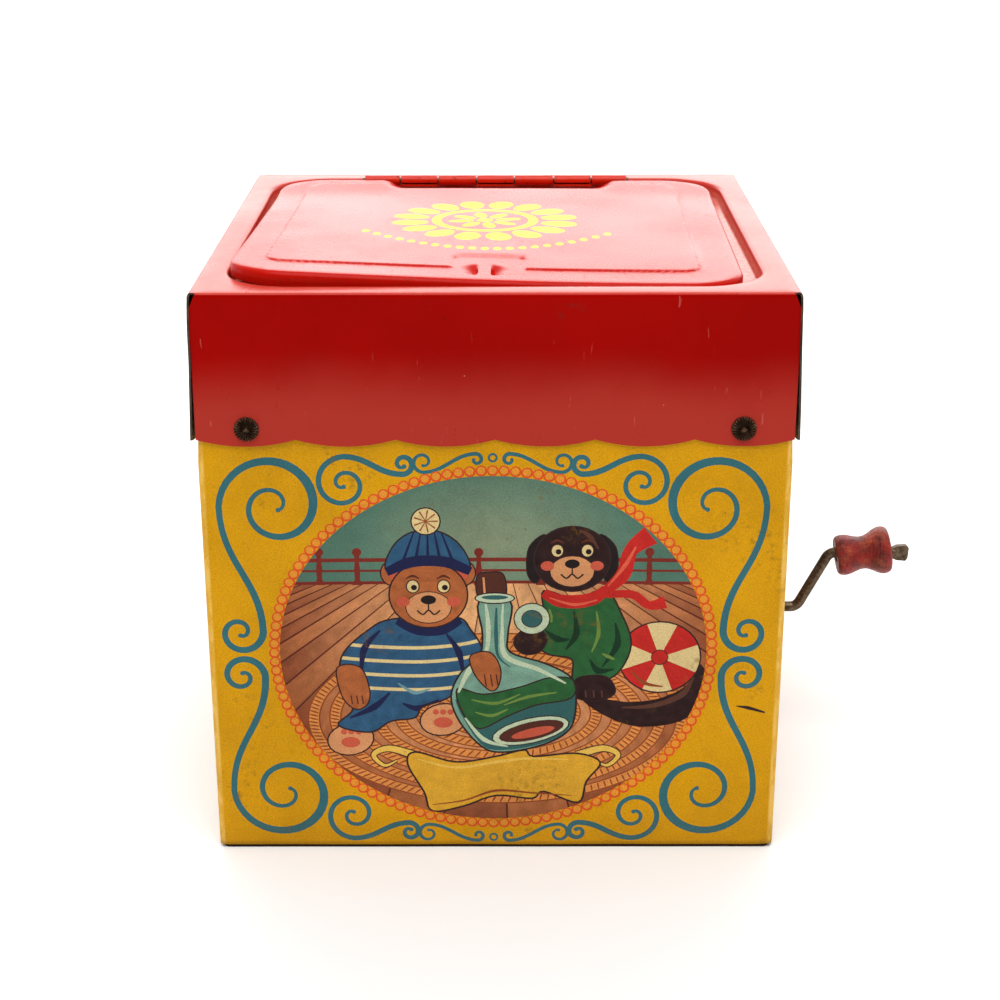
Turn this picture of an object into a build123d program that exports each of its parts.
from build123d import *
import math
import os

# Jack in the box: a papered card case with a tin cap and hinged tin lid, a crank-driven music
# movement on the right wall, a latch behind the front wall and a sprung cloth jack.
# +X is the crank side, the front faces -Y, +Z is up. The origin is the middle of the case's base.
# Everything is in millimetres.

# Case
CASE_WIDTH = 140.0
CASE_HEIGHT = 146.0
PAPER = 0.3
CARD = 2.2
TIN = 0.5
CORNER = 1.5
CARD_OUT = CASE_WIDTH / 2 - PAPER
CARD_IN = CARD_OUT - CARD
CARD_TOP = CASE_HEIGHT - TIN - 0.3

# Cap: top sheet, well with an inner ledge, scalloped skirts
CAP_HALF = CASE_WIDTH / 2 + 0.7
SIDE_HALF = CASE_WIDTH / 2 + 0.9
SIDE_FLARE = 1.75
SKIRT_HALF = CASE_WIDTH / 2 + 0.4
SKIRT_CUSP = 110.5
SCALLOP_SAG = 1.7
SCALLOPS = 6
OPEN_X = 64.0
OPEN_FRONT = -63.5
OPEN_BACK = 63.0
OPEN_R = 16.0
WELL_DEPTH = 4.0
LEDGE_X = 57.5
LEDGE_Y = 57.0
LEDGE_R = 10.0

# Hinge
HINGE_Y = 61.0
HINGE_Z = CASE_HEIGHT
PIN_R = 0.8
KNUCKLE_R = 1.4
KNUCKLE_EDGES = [-38.6, -28.1, -17.1, -5.8, 5.3, 16.8, 27.8, 38.2]
KNUCKLE_GAP = 0.15

# Lid
LID_X = -1.3
LID_Y = -2.0
LID_SIZE = (123.0, 120.0)
LID_R = 14.0
LID_RIM = 3.7
PANEL_X = -2.2
PANEL_Y = 1.0
PANEL_SIZE = (105.0, 102.0)
PANEL_R = 5.0
PANEL_STEP = 1.0
NOTCH = (16.4, 10.0)
CATCH_X = -2.4
CATCH_Y = -52.0
DISH = (9.0, 13.0)
DISH_DEPTH = 2.2
STRAP = 3.6
CATCH_WIRE = 0.7
CATCH_BAR_Z = 137.0

# Brads
BRAD_X = 58.6
BRAD_Z = 113.2
BRAD_R = 3.0
BRAD_DOME = 1.1
BRAD_SHANK = 0.9
FLUTES = 24

# Crank and movement
CRANK_Z = 36.5
ROD_R = 1.45
RUN = 0.05
CRANK_BEND = (85.0, 93.4)
HANDLE_Z = 53.0
ROD_BEND_R = 2.8
ROD_END = 111.6
KNOB_IN = 95.2
KNOB_OUT = 110.2
BUSHING_R = 3.2
FRAME_T = 0.8
FRAME_IN = 41.0
FRAME_Y = (-46.0, 28.0)
FRAME_Z = (24.0, 66.0)
ROLLER_R = 8.0
ROLLER_X = (45.0, 61.0)
FLANGE_R = 9.5
IDLER_R = 6.0
IDLER_Y = -36.0
IDLER_Z = 52.0
IDLER_PIN_R = 1.2
BELT_X = (46.4, 59.6)
BELT_GAP = 0.3
BELT_T = 1.5
NUB_R = 0.8
NUBS = 15
COMB_X = (44.0, 62.0)
COMB_TIP_Y = 11.3
COMB_ROOT_Y = 20.0
TEETH = 14

# Latch
PIVOT_X = 2.0
PIVOT_Z = 104.0
PIVOT_R = 1.5
LEVER_T = 1.0
BRACKET_X = (-8.0, 12.0)
BRACKET_Z = 94.0
BRACKET_T = 0.8

# Jack
FLOOR_TOP = CARD
SEAT_R = 34.0
SEAT_T = 3.0
SPRING_R = 21.0
SPRING_WIRE = 0.9
SPRING_TURNS = 9
ROBE_R = 27.0
ROBE_FOLD = 1.8
ROBE_FOLDS = 7
ROBE_T = 0.8
PLATE_Z = 62.0
PLATE_T = 2.5
COLLAR_R = 30.5
COLLAR_T = 5.0
HEAD_R = 22.0
HEAD_Z = 92.0
HAT_TOP = 138.0


def save(name, shape):
    """Write one node's solids to its STEP file."""
    export_step(shape, f"parts/{name}.step")


def block(x, y, z):
    """Box between two coordinates along each axis."""
    size = (x[1] - x[0], y[1] - y[0], z[1] - z[0])
    return Pos((x[0] + x[1]) / 2, (y[0] + y[1]) / 2, (z[0] + z[1]) / 2) * Box(*size)


def rounded_prism(half_x, half_y, radius, z, centre=(0, 0)):
    """Upright prism with a rounded rectangular outline."""
    outline = Pos(centre[0], centre[1], z[0]) * RectangleRounded(2 * half_x, 2 * half_y, radius)
    return extrude(outline, z[1] - z[0])


def rod_x(radius, x, y, z):
    """Cylinder along X between two x values."""
    return Pos((x[0] + x[1]) / 2, y, z) * Rot(0, 90, 0) * Cylinder(radius, x[1] - x[0])


def rod_y(radius, x, y, z):
    """Cylinder along Y between two y values."""
    return Pos(x, (y[0] + y[1]) / 2, z) * Rot(90, 0, 0) * Cylinder(radius, y[1] - y[0])


def rod_z(radius, x, y, z):
    """Cylinder along Z between two z values."""
    return Pos(x, y, (z[0] + z[1]) / 2) * Cylinder(radius, z[1] - z[0])


def wire_part(points, bend, radius):
    """Round wire bent along a route of straight runs and arcs."""
    route = FilletPolyline(*points, radius=bend)
    start = Plane(origin=route @ 0, z_dir=route % 0)
    return sweep(start * Circle(radius), path=route)


def brad_shanks(radius):
    """Round bars through the skirts, paper and card at the eight brads."""
    bars = []
    for side in (-BRAD_X, BRAD_X):
        bars.append(rod_y(radius, side, (-80, -60), BRAD_Z))
        bars.append(rod_y(radius, side, (60, 80), BRAD_Z))
        bars.append(rod_x(radius, (-80, -60), side, BRAD_Z))
        bars.append(rod_x(radius, (60, 80), side, BRAD_Z))
    return bars


RIVET_PLACES = [(y, z) for y in (FRAME_Y[0] + 5, FRAME_Y[1] - 5)
                for z in (FRAME_Z[0] + 5, FRAME_Z[1] - 5)]


def wall_holes(bushing_gap, rivet_r):
    """Crank and rivet holes through the right wall."""
    holes = [rod_x(BUSHING_R + bushing_gap, (60, 80), 0, CRANK_Z)]
    for y, z in RIVET_PLACES:
        holes.append(rod_x(rivet_r, (60, 80), y, z))
    return holes


def card_case():
    walls = rounded_prism(CARD_OUT, CARD_OUT, CORNER, (0, CARD_TOP))
    walls -= rounded_prism(CARD_IN, CARD_IN, 0.6, (-1, CARD_TOP + 1))
    walls -= brad_shanks(BRAD_SHANK + 0.1)
    walls -= wall_holes(0.1, 1.05)
    save("card_walls", walls)
    save("card_floor", rounded_prism(CARD_IN - 0.02, CARD_IN - 0.02, 0.6, (0, FLOOR_TOP)))
    wrap = rounded_prism(CASE_WIDTH / 2, CASE_WIDTH / 2, CORNER + PAPER, (0.6, CARD_TOP))
    wrap -= rounded_prism(CARD_OUT, CARD_OUT, CORNER, (0, CARD_TOP + 1))
    wrap -= brad_shanks(BRAD_SHANK + 0.1)
    wrap -= wall_holes(0.1, 1.05)
    save("printed_wrap", wrap)


def skirt(half):
    """Flat scalloped skirt panel in the XZ plane, its outer face at y = 0."""
    top = CASE_HEIGHT - 0.05
    step = 2 * half / SCALLOPS
    with BuildPart() as panel:
        with BuildSketch(Plane.XZ):
            with BuildLine():
                Line((half, SKIRT_CUSP), (half, top - 4.5))
                ThreePointArc((half, top - 4.5), (half - 0.5, top - 1.6), (half - 1.8, top))
                Line((half - 1.8, top), (-half + 1.8, top))
                ThreePointArc((-half + 1.8, top), (-half + 0.5, top - 1.6), (-half, top - 4.5))
                Line((-half, top - 4.5), (-half, SKIRT_CUSP))
                for i in range(SCALLOPS):
                    start = -half + i * step
                    low = (start + step / 2, SKIRT_CUSP - SCALLOP_SAG)
                    ThreePointArc((start, SKIRT_CUSP), low, (start + step, SKIRT_CUSP))
            make_face()
        extrude(amount=-TIN)
    return panel.part


def knuckle(edge, bore):
    """One rolled hinge knuckle between two neighbouring edges."""
    low = KNUCKLE_EDGES[edge] + KNUCKLE_GAP
    high = KNUCKLE_EDGES[edge + 1] - KNUCKLE_GAP
    outside = rod_x(KNUCKLE_R, (low, high), HINGE_Y, HINGE_Z)
    return outside - rod_x(bore, (low - 1, high + 1), HINGE_Y, HINGE_Z)


def leaf(edge, far_y):
    """Flat strip that joins a knuckle's underside to its sheet."""
    low = KNUCKLE_EDGES[edge] + KNUCKLE_GAP
    high = KNUCKLE_EDGES[edge + 1] - KNUCKLE_GAP
    bottom = HINGE_Z - KNUCKLE_R
    return block((low, high), sorted((HINGE_Y, far_y)), (bottom, bottom + KNUCKLE_R - PIN_R - RUN))


def top_cap():
    mid_y = (OPEN_FRONT + OPEN_BACK) / 2
    half_y = (OPEN_BACK - OPEN_FRONT) / 2
    floor = CASE_HEIGHT - WELL_DEPTH - TIN
    half_x = SIDE_HALF - 0.2
    cap = block((-half_x, half_x), (-CAP_HALF, CAP_HALF), (CASE_HEIGHT - TIN, CASE_HEIGHT))
    cap += rounded_prism(OPEN_X + TIN, half_y + TIN, OPEN_R + TIN, (floor, CASE_HEIGHT), (0, mid_y))
    cap -= rounded_prism(OPEN_X, half_y, OPEN_R, (floor + TIN, CASE_HEIGHT + 1), (0, mid_y))
    cap -= rounded_prism(LEDGE_X, LEDGE_Y, LEDGE_R, (floor - 1, CASE_HEIGHT + 1))
    front = skirt(SKIRT_HALF)
    cap += Pos(0, -CAP_HALF, 0) * front
    cap += Rot(0, 0, 180) * Pos(0, -CAP_HALF, 0) * front
    side = skirt(CAP_HALF + 0.3)
    tilted = Pos(0, -SIDE_HALF, CASE_HEIGHT) * Rot(-SIDE_FLARE, 0, 0) * Pos(0, 0, -CASE_HEIGHT) * side
    cap += Rot(0, 0, 90) * tilted
    cap += Rot(0, 0, -90) * tilted
    for edge in (0, 2, 4, 6):
        cap += leaf(edge, OPEN_BACK + 0.2)
        cap += knuckle(edge, PIN_R + 0.02)
        cap -= rod_x(PIN_R + 0.02, (-50, 50), HINGE_Y, HINGE_Z)
    cap -= brad_shanks(BRAD_SHANK + 0.1)
    save("top_cap", cap)
    save("hinge_pin", rod_x(PIN_R, (KNUCKLE_EDGES[0] - 0.5, KNUCKLE_EDGES[-1] + 0.5), HINGE_Y, HINGE_Z))


def panel_prism(inset, z):
    """Raised middle of the lid with the notch in its front edge."""
    half_x = PANEL_SIZE[0] / 2 - inset
    half_y = PANEL_SIZE[1] / 2 - inset
    panel = rounded_prism(half_x, half_y, PANEL_R - inset, z, (PANEL_X, PANEL_Y))
    front = PANEL_Y - PANEL_SIZE[1] / 2
    half_notch = NOTCH[0] / 2 + inset
    notch_y = (front - 5, front + NOTCH[1] + inset)
    return panel - block((CATCH_X - half_notch, CATCH_X + half_notch), notch_y, (z[0] - 1, z[1] + 1))


def lid():
    top = CASE_HEIGHT
    rim = (top - LID_RIM, top)
    half_x = LID_SIZE[0] / 2
    half_y = LID_SIZE[1] / 2
    shell = rounded_prism(half_x, half_y, LID_R, rim, (LID_X, LID_Y))
    shell = fillet(shell.edges().group_by(Axis.Z)[-1], 1.0)
    shell += panel_prism(0, (top - TIN, top + PANEL_STEP))
    hollow = (rim[0] - 1, top - TIN)
    shell -= rounded_prism(half_x - TIN, half_y - TIN, LID_R - TIN, hollow, (LID_X, LID_Y))
    shell -= panel_prism(TIN, (top - TIN - 0.1, top + PANEL_STEP - TIN))
    dish_place = Pos(CATCH_X, CATCH_Y, top - DISH_DEPTH - TIN)
    cup = extrude(dish_place * Ellipse(DISH[0] / 2 + TIN, DISH[1] / 2 + TIN), DISH_DEPTH + TIN)
    hollow = Pos(0, 0, TIN) * extrude(dish_place * Ellipse(DISH[0] / 2, DISH[1] / 2), DISH_DEPTH + 1)
    shell += cup
    shell -= hollow
    strap_x = (CATCH_X - STRAP / 2, CATCH_X + STRAP / 2)
    shell += block(strap_x, (CATCH_Y - 6.8, CATCH_Y + 6.8), (top - TIN, top))
    back = LID_Y + half_y
    for edge in (1, 3, 5):
        shell += leaf(edge, back - 0.2)
        shell += knuckle(edge, PIN_R + RUN)
    shell -= rod_x(PIN_R + RUN, (-50, 50), HINGE_Y, HINGE_Z)
    save("lid", shell)
    foot = top - DISH_DEPTH - TIN
    low = CATCH_Y - 3.2
    high = CATCH_Y + 3.2
    route = [(CATCH_X, low, foot), (CATCH_X, low, CATCH_BAR_Z)]
    route += [(CATCH_X, high, CATCH_BAR_Z), (CATCH_X, high, foot)]
    save("lid_catch", wire_part(route, 1.3, CATCH_WIRE))


def lens(radius, height):
    """Domed disc on the XY plane, rising along +Z."""
    ball = (radius ** 2 + height ** 2) / (2 * height)
    middle = math.sqrt(ball ** 2 - radius ** 2 / 4) - (ball - height)
    edge = Polyline((0, height), (0, 0), (radius, 0))
    edge += ThreePointArc((radius, 0), (radius / 2, middle), (0, height))
    return revolve(Plane.XZ * make_face(edge), axis=Axis.Z)


def brad(reach):
    """Fluted brad; its head's back is at y = 0 and its legs bend apart behind the card, at reach."""
    head = Rot(90, 0, 0) * lens(BRAD_R, BRAD_DOME)
    for i in range(FLUTES):
        flute = Pos(0, -BRAD_DOME * 0.55, BRAD_R) * Rot(-14, 0, 0) * Cylinder(0.16, 2.6)
        head -= Rot(0, i * 360 / FLUTES, 0) * flute
    head -= rod_y(0.5, 0, (-BRAD_DOME - 1, -BRAD_DOME + 0.25), 0)
    shank = rod_y(BRAD_SHANK, 0, (-0.2, reach + 0.3), 0)
    legs = block((-7, 7), (reach + 0.02, reach + 0.4), (-1.2, 1.2))
    return head + shank + legs


def brads():
    flare = math.tan(math.radians(SIDE_FLARE)) * (CASE_HEIGHT - BRAD_Z + BRAD_R)
    side_out = SIDE_HALF + flare + 0.02
    solids = []
    for turn, out in ((0, CAP_HALF), (180, CAP_HALF), (90, side_out), (-90, side_out)):
        one = brad(out - CARD_IN)
        for side in (-BRAD_X, BRAD_X):
            solids.append(Rot(0, 0, turn) * Pos(side, -out, BRAD_Z) * one)
    save("cap_brads", Compound(children=solids))


def crank():
    route = [(FRAME_IN - 0.8, 0, CRANK_Z), (CRANK_BEND[0], 0, CRANK_Z), (CRANK_BEND[1], 0, HANDLE_Z)]
    route.append((ROD_END, 0, HANDLE_Z))
    rod = wire_part(route, ROD_BEND_R, ROD_R)
    beaten = [(-1, -1.3), (0.6, -2.1), (3.1, -2.3), (3.7, -1.5)]
    beaten += [(3.9, 1.5), (3.1, 2.3), (0.6, 2.1), (-1, 1.3)]
    end = Polyline(*[(ROD_END + x, z) for x, z in beaten], close=True)
    paddle = extrude(Plane.XZ * make_face(end), 0.8, both=True)
    save("crank_rod", rod + Pos(0, 0, HANDLE_Z) * paddle)

    with BuildPart() as knob:
        with BuildSketch(Plane.XZ):
            with BuildLine():
                bore = ROD_R + RUN
                Polyline((KNOB_IN, 4.4), (KNOB_IN, bore), (KNOB_OUT, bore), (KNOB_OUT, 4.9))
                Spline((KNOB_OUT, 4.9), (KNOB_OUT - 1.5, 6.3), (KNOB_OUT - 4, 6.4), (KNOB_OUT - 8, 5.0),
                       (KNOB_IN + 4.5, 4.75), (KNOB_IN + 1.3, 5.4), (KNOB_IN, 4.4))
            make_face()
        revolve(axis=Axis.X)
    save("crank_knob", Pos(0, 0, HANDLE_Z) * knob.part)

    bushing = rod_x(BUSHING_R, (FRAME_IN + 25.7, CASE_WIDTH / 2 + 0.6), 0, CRANK_Z)
    bushing += rod_x(5.0, (CASE_WIDTH / 2, CASE_WIDTH / 2 + 0.6), 0, CRANK_Z)
    bushing -= rod_x(ROD_R + RUN, (0, 100), 0, CRANK_Z)
    save("crank_bushing", bushing)
    ring = rod_x(4.0, (CASE_WIDTH / 2 + 0.8, CASE_WIDTH / 2 + 1.6), 0, CRANK_Z)
    save("thrust_washer", ring - rod_x(ROD_R + 0.02, (0, 100), 0, CRANK_Z))
    collar = rod_x(4.0, (FRAME_IN + 1.2, FRAME_IN + 3.4), 0, CRANK_Z)
    save("shaft_collar", collar - rod_x(ROD_R + 0.02, (0, 100), 0, CRANK_Z))
    roller = rod_x(ROLLER_R, ROLLER_X, 0, CRANK_Z)
    roller += rod_x(FLANGE_R, (ROLLER_X[0], ROLLER_X[0] + 1), 0, CRANK_Z)
    roller += rod_x(FLANGE_R, (ROLLER_X[1] - 1, ROLLER_X[1]), 0, CRANK_Z)
    save("drive_roller", roller - rod_x(ROD_R + 0.02, (0, 100), 0, CRANK_Z))


def belt_outline(gap):
    """Open tube around both rollers, made from two discs and the hull between them."""
    small = Pos(IDLER_Y, IDLER_Z) * Circle(IDLER_R + gap)
    large = Pos(0, CRANK_Z) * Circle(ROLLER_R + gap)
    hull = make_hull(small.edges() + large.edges())
    return Pos(BELT_X[0], 0, 0) * extrude(Plane.YZ * hull, BELT_X[1] - BELT_X[0])


def movement():
    outer = CARD_IN
    base = block((outer - FRAME_T, outer), FRAME_Y, FRAME_Z)
    web = block((FRAME_IN, outer), (FRAME_Y[1] - FRAME_T, FRAME_Y[1]), FRAME_Z)
    inner = block((FRAME_IN, FRAME_IN + FRAME_T), FRAME_Y, FRAME_Z)
    frame = base + web + inner
    frame -= rod_x(BUSHING_R + 0.05, (60, 80), 0, CRANK_Z)
    frame -= rod_x(ROD_R + RUN, (30, 50), 0, CRANK_Z)
    frame -= rod_x(IDLER_PIN_R + 0.03, (30, 80), IDLER_Y, IDLER_Z)
    for y, z in RIVET_PLACES:
        frame -= rod_x(1.05, (60, 80), y, z)
    for x in (COMB_X[0] + 4, COMB_X[1] - 4):
        frame -= rod_y(1.05, x, (20, 40), 33)
    save("movement_frame", frame)

    rivets = []
    for y, z in RIVET_PLACES:
        head = Pos(CASE_WIDTH / 2, y, z) * Rot(0, 90, 0) * lens(2.2, 0.9)
        shank = rod_x(1.0, (outer - FRAME_T, CASE_WIDTH / 2 + 0.1), y, z)
        rivets.append(head + shank + rod_x(1.8, (outer - FRAME_T - 0.6, outer - FRAME_T), y, z))
    save("frame_rivets", Compound(children=rivets))

    save("idler_pin", rod_x(IDLER_PIN_R, (FRAME_IN - 0.6, outer), IDLER_Y, IDLER_Z))
    roller = rod_x(IDLER_R, ROLLER_X, IDLER_Y, IDLER_Z)
    save("idler_roller", roller - rod_x(IDLER_PIN_R + RUN, (0, 100), IDLER_Y, IDLER_Z))

    belt = belt_outline(BELT_GAP + BELT_T)
    reach = ROLLER_R + BELT_GAP + BELT_T
    for i in range(NUBS):
        angle = math.radians(-150 + 12 * i)
        y = reach * math.cos(angle) * 0.995
        z = CRANK_Z + reach * math.sin(angle) * 0.995
        x = BELT_X[0] + 1.6 + (i * 5 % 9) * 1.25
        belt += Pos(x, y, z) * Sphere(NUB_R)
    belt -= belt_outline(BELT_GAP)
    save("music_belt", belt)

    block_z = (30.0, CRANK_Z - 0.5)
    comb_y = (COMB_ROOT_Y + 1, FRAME_Y[1] - FRAME_T)
    base = block(COMB_X, comb_y, block_z)
    screws = []
    comb = block(COMB_X, (COMB_ROOT_Y, comb_y[1] - 0.2), (block_z[1], block_z[1] + 1))
    pitch = (COMB_X[1] - COMB_X[0]) / TEETH
    for i in range(TEETH):
        low = COMB_X[0] + i * pitch + 0.2
        tooth_z = (block_z[1] + 0.2, block_z[1] + 0.8)
        comb += block((low, low + pitch - 0.4), (COMB_TIP_Y, COMB_ROOT_Y + 0.1), tooth_z)
    for x in (COMB_X[0] + 4, COMB_X[1] - 4):
        y = (comb_y[0] + comb_y[1]) / 2
        base -= rod_z(0.95, x, y, (block_z[0] - 1, block_z[1] + 1))
        comb -= rod_z(0.95, x, y, (30, 50))
        head = rod_z(2.0, x, y, (block_z[1] + 1, block_z[1] + 2.2))
        head -= block((x - 3, x + 3), (y - 0.25, y + 0.25), (block_z[1] + 1.7, block_z[1] + 3))
        screws.append(head + rod_z(0.9, x, y, (block_z[0] + 0.5, block_z[1] + 1.05)))
    save("comb_base", base)
    save("tone_comb", comb)
    save("comb_screws", Compound(children=screws))


def link(p, q, half):
    """Flat strip with round ends between two points of the XZ plane."""
    a = Vector(p[0], p[1])
    b = Vector(q[0], q[1])
    run = b - a
    middle = (a + b) * 0.5
    angle = math.degrees(math.atan2(run.Y, run.X))
    strip = Pos(middle.X, middle.Y) * Rot(0, 0, angle) * Rectangle(run.length, 2 * half)
    return strip + Pos(a.X, a.Y) * Circle(half) + Pos(b.X, b.Y) * Circle(half)


def latch():
    strip_y = (CATCH_Y - LEVER_T / 2, CATCH_Y + LEVER_T / 2)
    inside = -CARD_IN + 0.2
    plate = block(BRACKET_X, (inside, inside + BRACKET_T), (BRACKET_Z, CASE_HEIGHT - TIN))
    flange_z = (CASE_HEIGHT - TIN - BRACKET_T, CASE_HEIGHT - TIN)
    plate += block(BRACKET_X, (inside, OPEN_FRONT - TIN - 0.2), flange_z)
    plate -= rod_y(PIVOT_R + 0.03, PIVOT_X, (-80, -60), PIVOT_Z)
    save("latch_bracket", plate)
    pivot = rod_y(PIVOT_R, PIVOT_X, (inside, strip_y[1] + 0.2), PIVOT_Z)
    pivot += rod_y(3.0, PIVOT_X, (inside + BRACKET_T, strip_y[0] - 0.1), PIVOT_Z)
    pivot += rod_y(2.6, PIVOT_X, (strip_y[1] + 0.1, strip_y[1] + 1.1), PIVOT_Z)
    save("latch_pivot", pivot)

    nose_z = 139.6
    points = [(CATCH_X - 2.9, nose_z), (-10, nose_z), (-10, 126)]
    points += [(PIVOT_X, PIVOT_Z), (30, 84), (55, 70.4)]
    halves = [1.2, 1.8, 2.4, 2.6, 2.4]
    outline = Pos(PIVOT_X, PIVOT_Z) * Circle(4.0)
    for i in range(len(halves)):
        outline += link(points[i], points[i + 1], halves[i])
    outline -= Pos(PIVOT_X, PIVOT_Z) * Circle(PIVOT_R + RUN)
    lever = Pos(0, strip_y[1], 0) * extrude(Plane.XZ * outline, LEVER_T)
    lever += block((52, 58), (strip_y[0], -38), (68, 69))
    save("latch_lever", lever)

    coil_y = (-63.0, -55.5)
    wire = 0.35
    coil = Helix(pitch=1.5, height=coil_y[1] - coil_y[0], radius=3.9)
    section = Plane(origin=coil @ 0, z_dir=coil % 0) * Circle(wire)
    turns = sweep(section, path=coil, is_frenet=True)
    spring = Pos(PIVOT_X, coil_y[0], PIVOT_Z) * Rot(-90, 0, 0) * turns
    save("latch_spring", spring)


def jack_springs():
    seat = rod_z(SEAT_R, 0, 0, (FLOOR_TOP, FLOOR_TOP + SEAT_T))
    staples = []
    for turn in range(4):
        centre = Rot(0, 0, 45 + 90 * turn) * Pos(SEAT_R - 4, 0, 0)
        legs = rod_z(0.45, 0, -3, (-SEAT_T + 0.5, 0.5)) + rod_z(0.45, 0, 3, (-SEAT_T + 0.5, 0.5))
        bridge = rod_y(0.45, 0, (-3, 3), 0.5)
        staples.append(centre * Pos(0, 0, FLOOR_TOP + SEAT_T) * (legs + bridge))
        seat -= centre * Pos(0, -3, FLOOR_TOP + SEAT_T) * Cylinder(0.5, 2 * SEAT_T - 0.6)
        seat -= centre * Pos(0, 3, FLOOR_TOP + SEAT_T) * Cylinder(0.5, 2 * SEAT_T - 0.6)
    save("spring_seat", seat)
    save("seat_staples", Compound(children=staples))

    low = FLOOR_TOP + SEAT_T + SPRING_WIRE + 0.1
    height = PLATE_Z - SPRING_WIRE - 0.2 - low
    coil = Helix(pitch=height / SPRING_TURNS, height=height, radius=SPRING_R)
    section = Plane(origin=coil @ 0, z_dir=coil % 0) * Circle(SPRING_WIRE)
    save("jack_spring", Pos(0, 0, low) * sweep(section, path=coil, is_frenet=True))

    bottom = FLOOR_TOP + SEAT_T + 0.2
    top = PLATE_Z - 0.3
    step = (top - bottom) / (2 * ROBE_FOLDS)
    outside = []
    for i in range(2 * ROBE_FOLDS + 1):
        outside.append((ROBE_R - ROBE_FOLD * (i % 2), bottom + i * step))
    inside = [(x - ROBE_T, z) for x, z in reversed(outside)]
    profile = make_face(Polyline(*(outside + inside), close=True))
    save("jack_robe", revolve(Plane.XZ * profile, axis=Axis.Z))


def jack():
    plate = rod_z(ROBE_R - 1, 0, 0, (PLATE_Z, PLATE_Z + PLATE_T))
    save("neck_plate", plate)
    collar_z = (PLATE_Z + PLATE_T, PLATE_Z + PLATE_T + COLLAR_T)
    collar = rod_z(COLLAR_R, 0, 0, collar_z)
    for i in range(16):
        collar += Rot(0, 0, 22.5 * i) * rod_z(3.0, COLLAR_R, 0, collar_z)
    save("ruff_collar", collar)

    ball = Pos(0, 0, HEAD_Z) * Sphere(HEAD_R)
    neck = rod_z(9.0, 0, 0, (collar_z[1], HEAD_Z))
    head = ball + neck
    head &= block((-40, 40), (-40, 40), (collar_z[1], HEAD_Z + HEAD_R))
    head -= Pos(0, 0, HEAD_Z) * Sphere(HEAD_R - 1.6)
    head -= rod_z(7.0, 0, 0, (0, HEAD_Z))
    around_head = Pos(0, 0, HEAD_Z) * Sphere(HEAD_R + 0.05)
    save("jack_head", head)

    nose = Pos(0, -HEAD_R - 1.0, HEAD_Z - 2) * Sphere(4.2)
    save("jack_nose", nose - around_head)
    eyes = []
    for side in (-1, 1):
        eyes.append(Pos(side * 7.5, -HEAD_R + 2.2, HEAD_Z + 5.5) * Sphere(2.6) - around_head)
    save("jack_eyes", Compound(children=eyes))
    hat_z = HEAD_Z + 13.0
    ears = []
    hair = []
    for side in (-1, 1):
        ear = Pos(side * (HEAD_R + 0.5), 1, HEAD_Z - 3) * Rot(0, 90, 0) * Sphere(4.6)
        ears.append(ear - around_head)
        tuft = Pos(side * (HEAD_R - 2), 4, HEAD_Z + 8) * Sphere(7.0) - around_head
        tuft -= block((-60, 60), (-60, 60), (hat_z - 0.2, 200))
        tuft -= Pos(side * (HEAD_R + 0.5), 1, HEAD_Z - 3) * Sphere(4.7)
        hair.append(tuft)
    save("jack_ears", Compound(children=ears))
    save("jack_hair", Compound(children=hair))

    pompom = Pos(0, 0, HAT_TOP - 4.5) * Sphere(4.5)
    hat = Pos(0, 0, hat_z) * Cone(19.0, 2.0, 29.0, align=(Align.CENTER, Align.CENTER, Align.MIN))
    hat += rod_z(20.5, 0, 0, (hat_z, hat_z + 3))
    hat -= around_head
    hat -= pompom
    save("jack_hat", hat)
    save("hat_pompom", pompom)

    sleeves = []
    hands = []
    for side in (-1, 1):
        top = Plane(origin=(side * 32.5, 0, PLATE_Z + PLATE_T - 0.05))
        low = Plane(origin=(side * 32.8, -6, 38.0))
        sleeves.append(loft([top * Circle(4.0), low * Circle(4.6)]))
        mitt = Pos(side * 32.8, -7, 31.5) * Sphere(4.6)
        mitt += Pos(side * 32.8, -6, 34.7) * Cylinder(2.9, 6.4)
        mitt += Pos(side * 32.8, -12.2, 33.5) * Sphere(1.9)
        mitt += Pos(side * 32.8, -9.8, 32.8) * Rot(62, 0, 0) * Cylinder(1.7, 5)
        hands.append(mitt)
    save("jack_sleeves", Compound(children=sleeves))
    save("jack_hands", Compound(children=hands))


os.makedirs("parts", exist_ok=True)
card_case()
top_cap()
lid()
brads()
crank()
movement()
latch()
jack_springs()
jack()
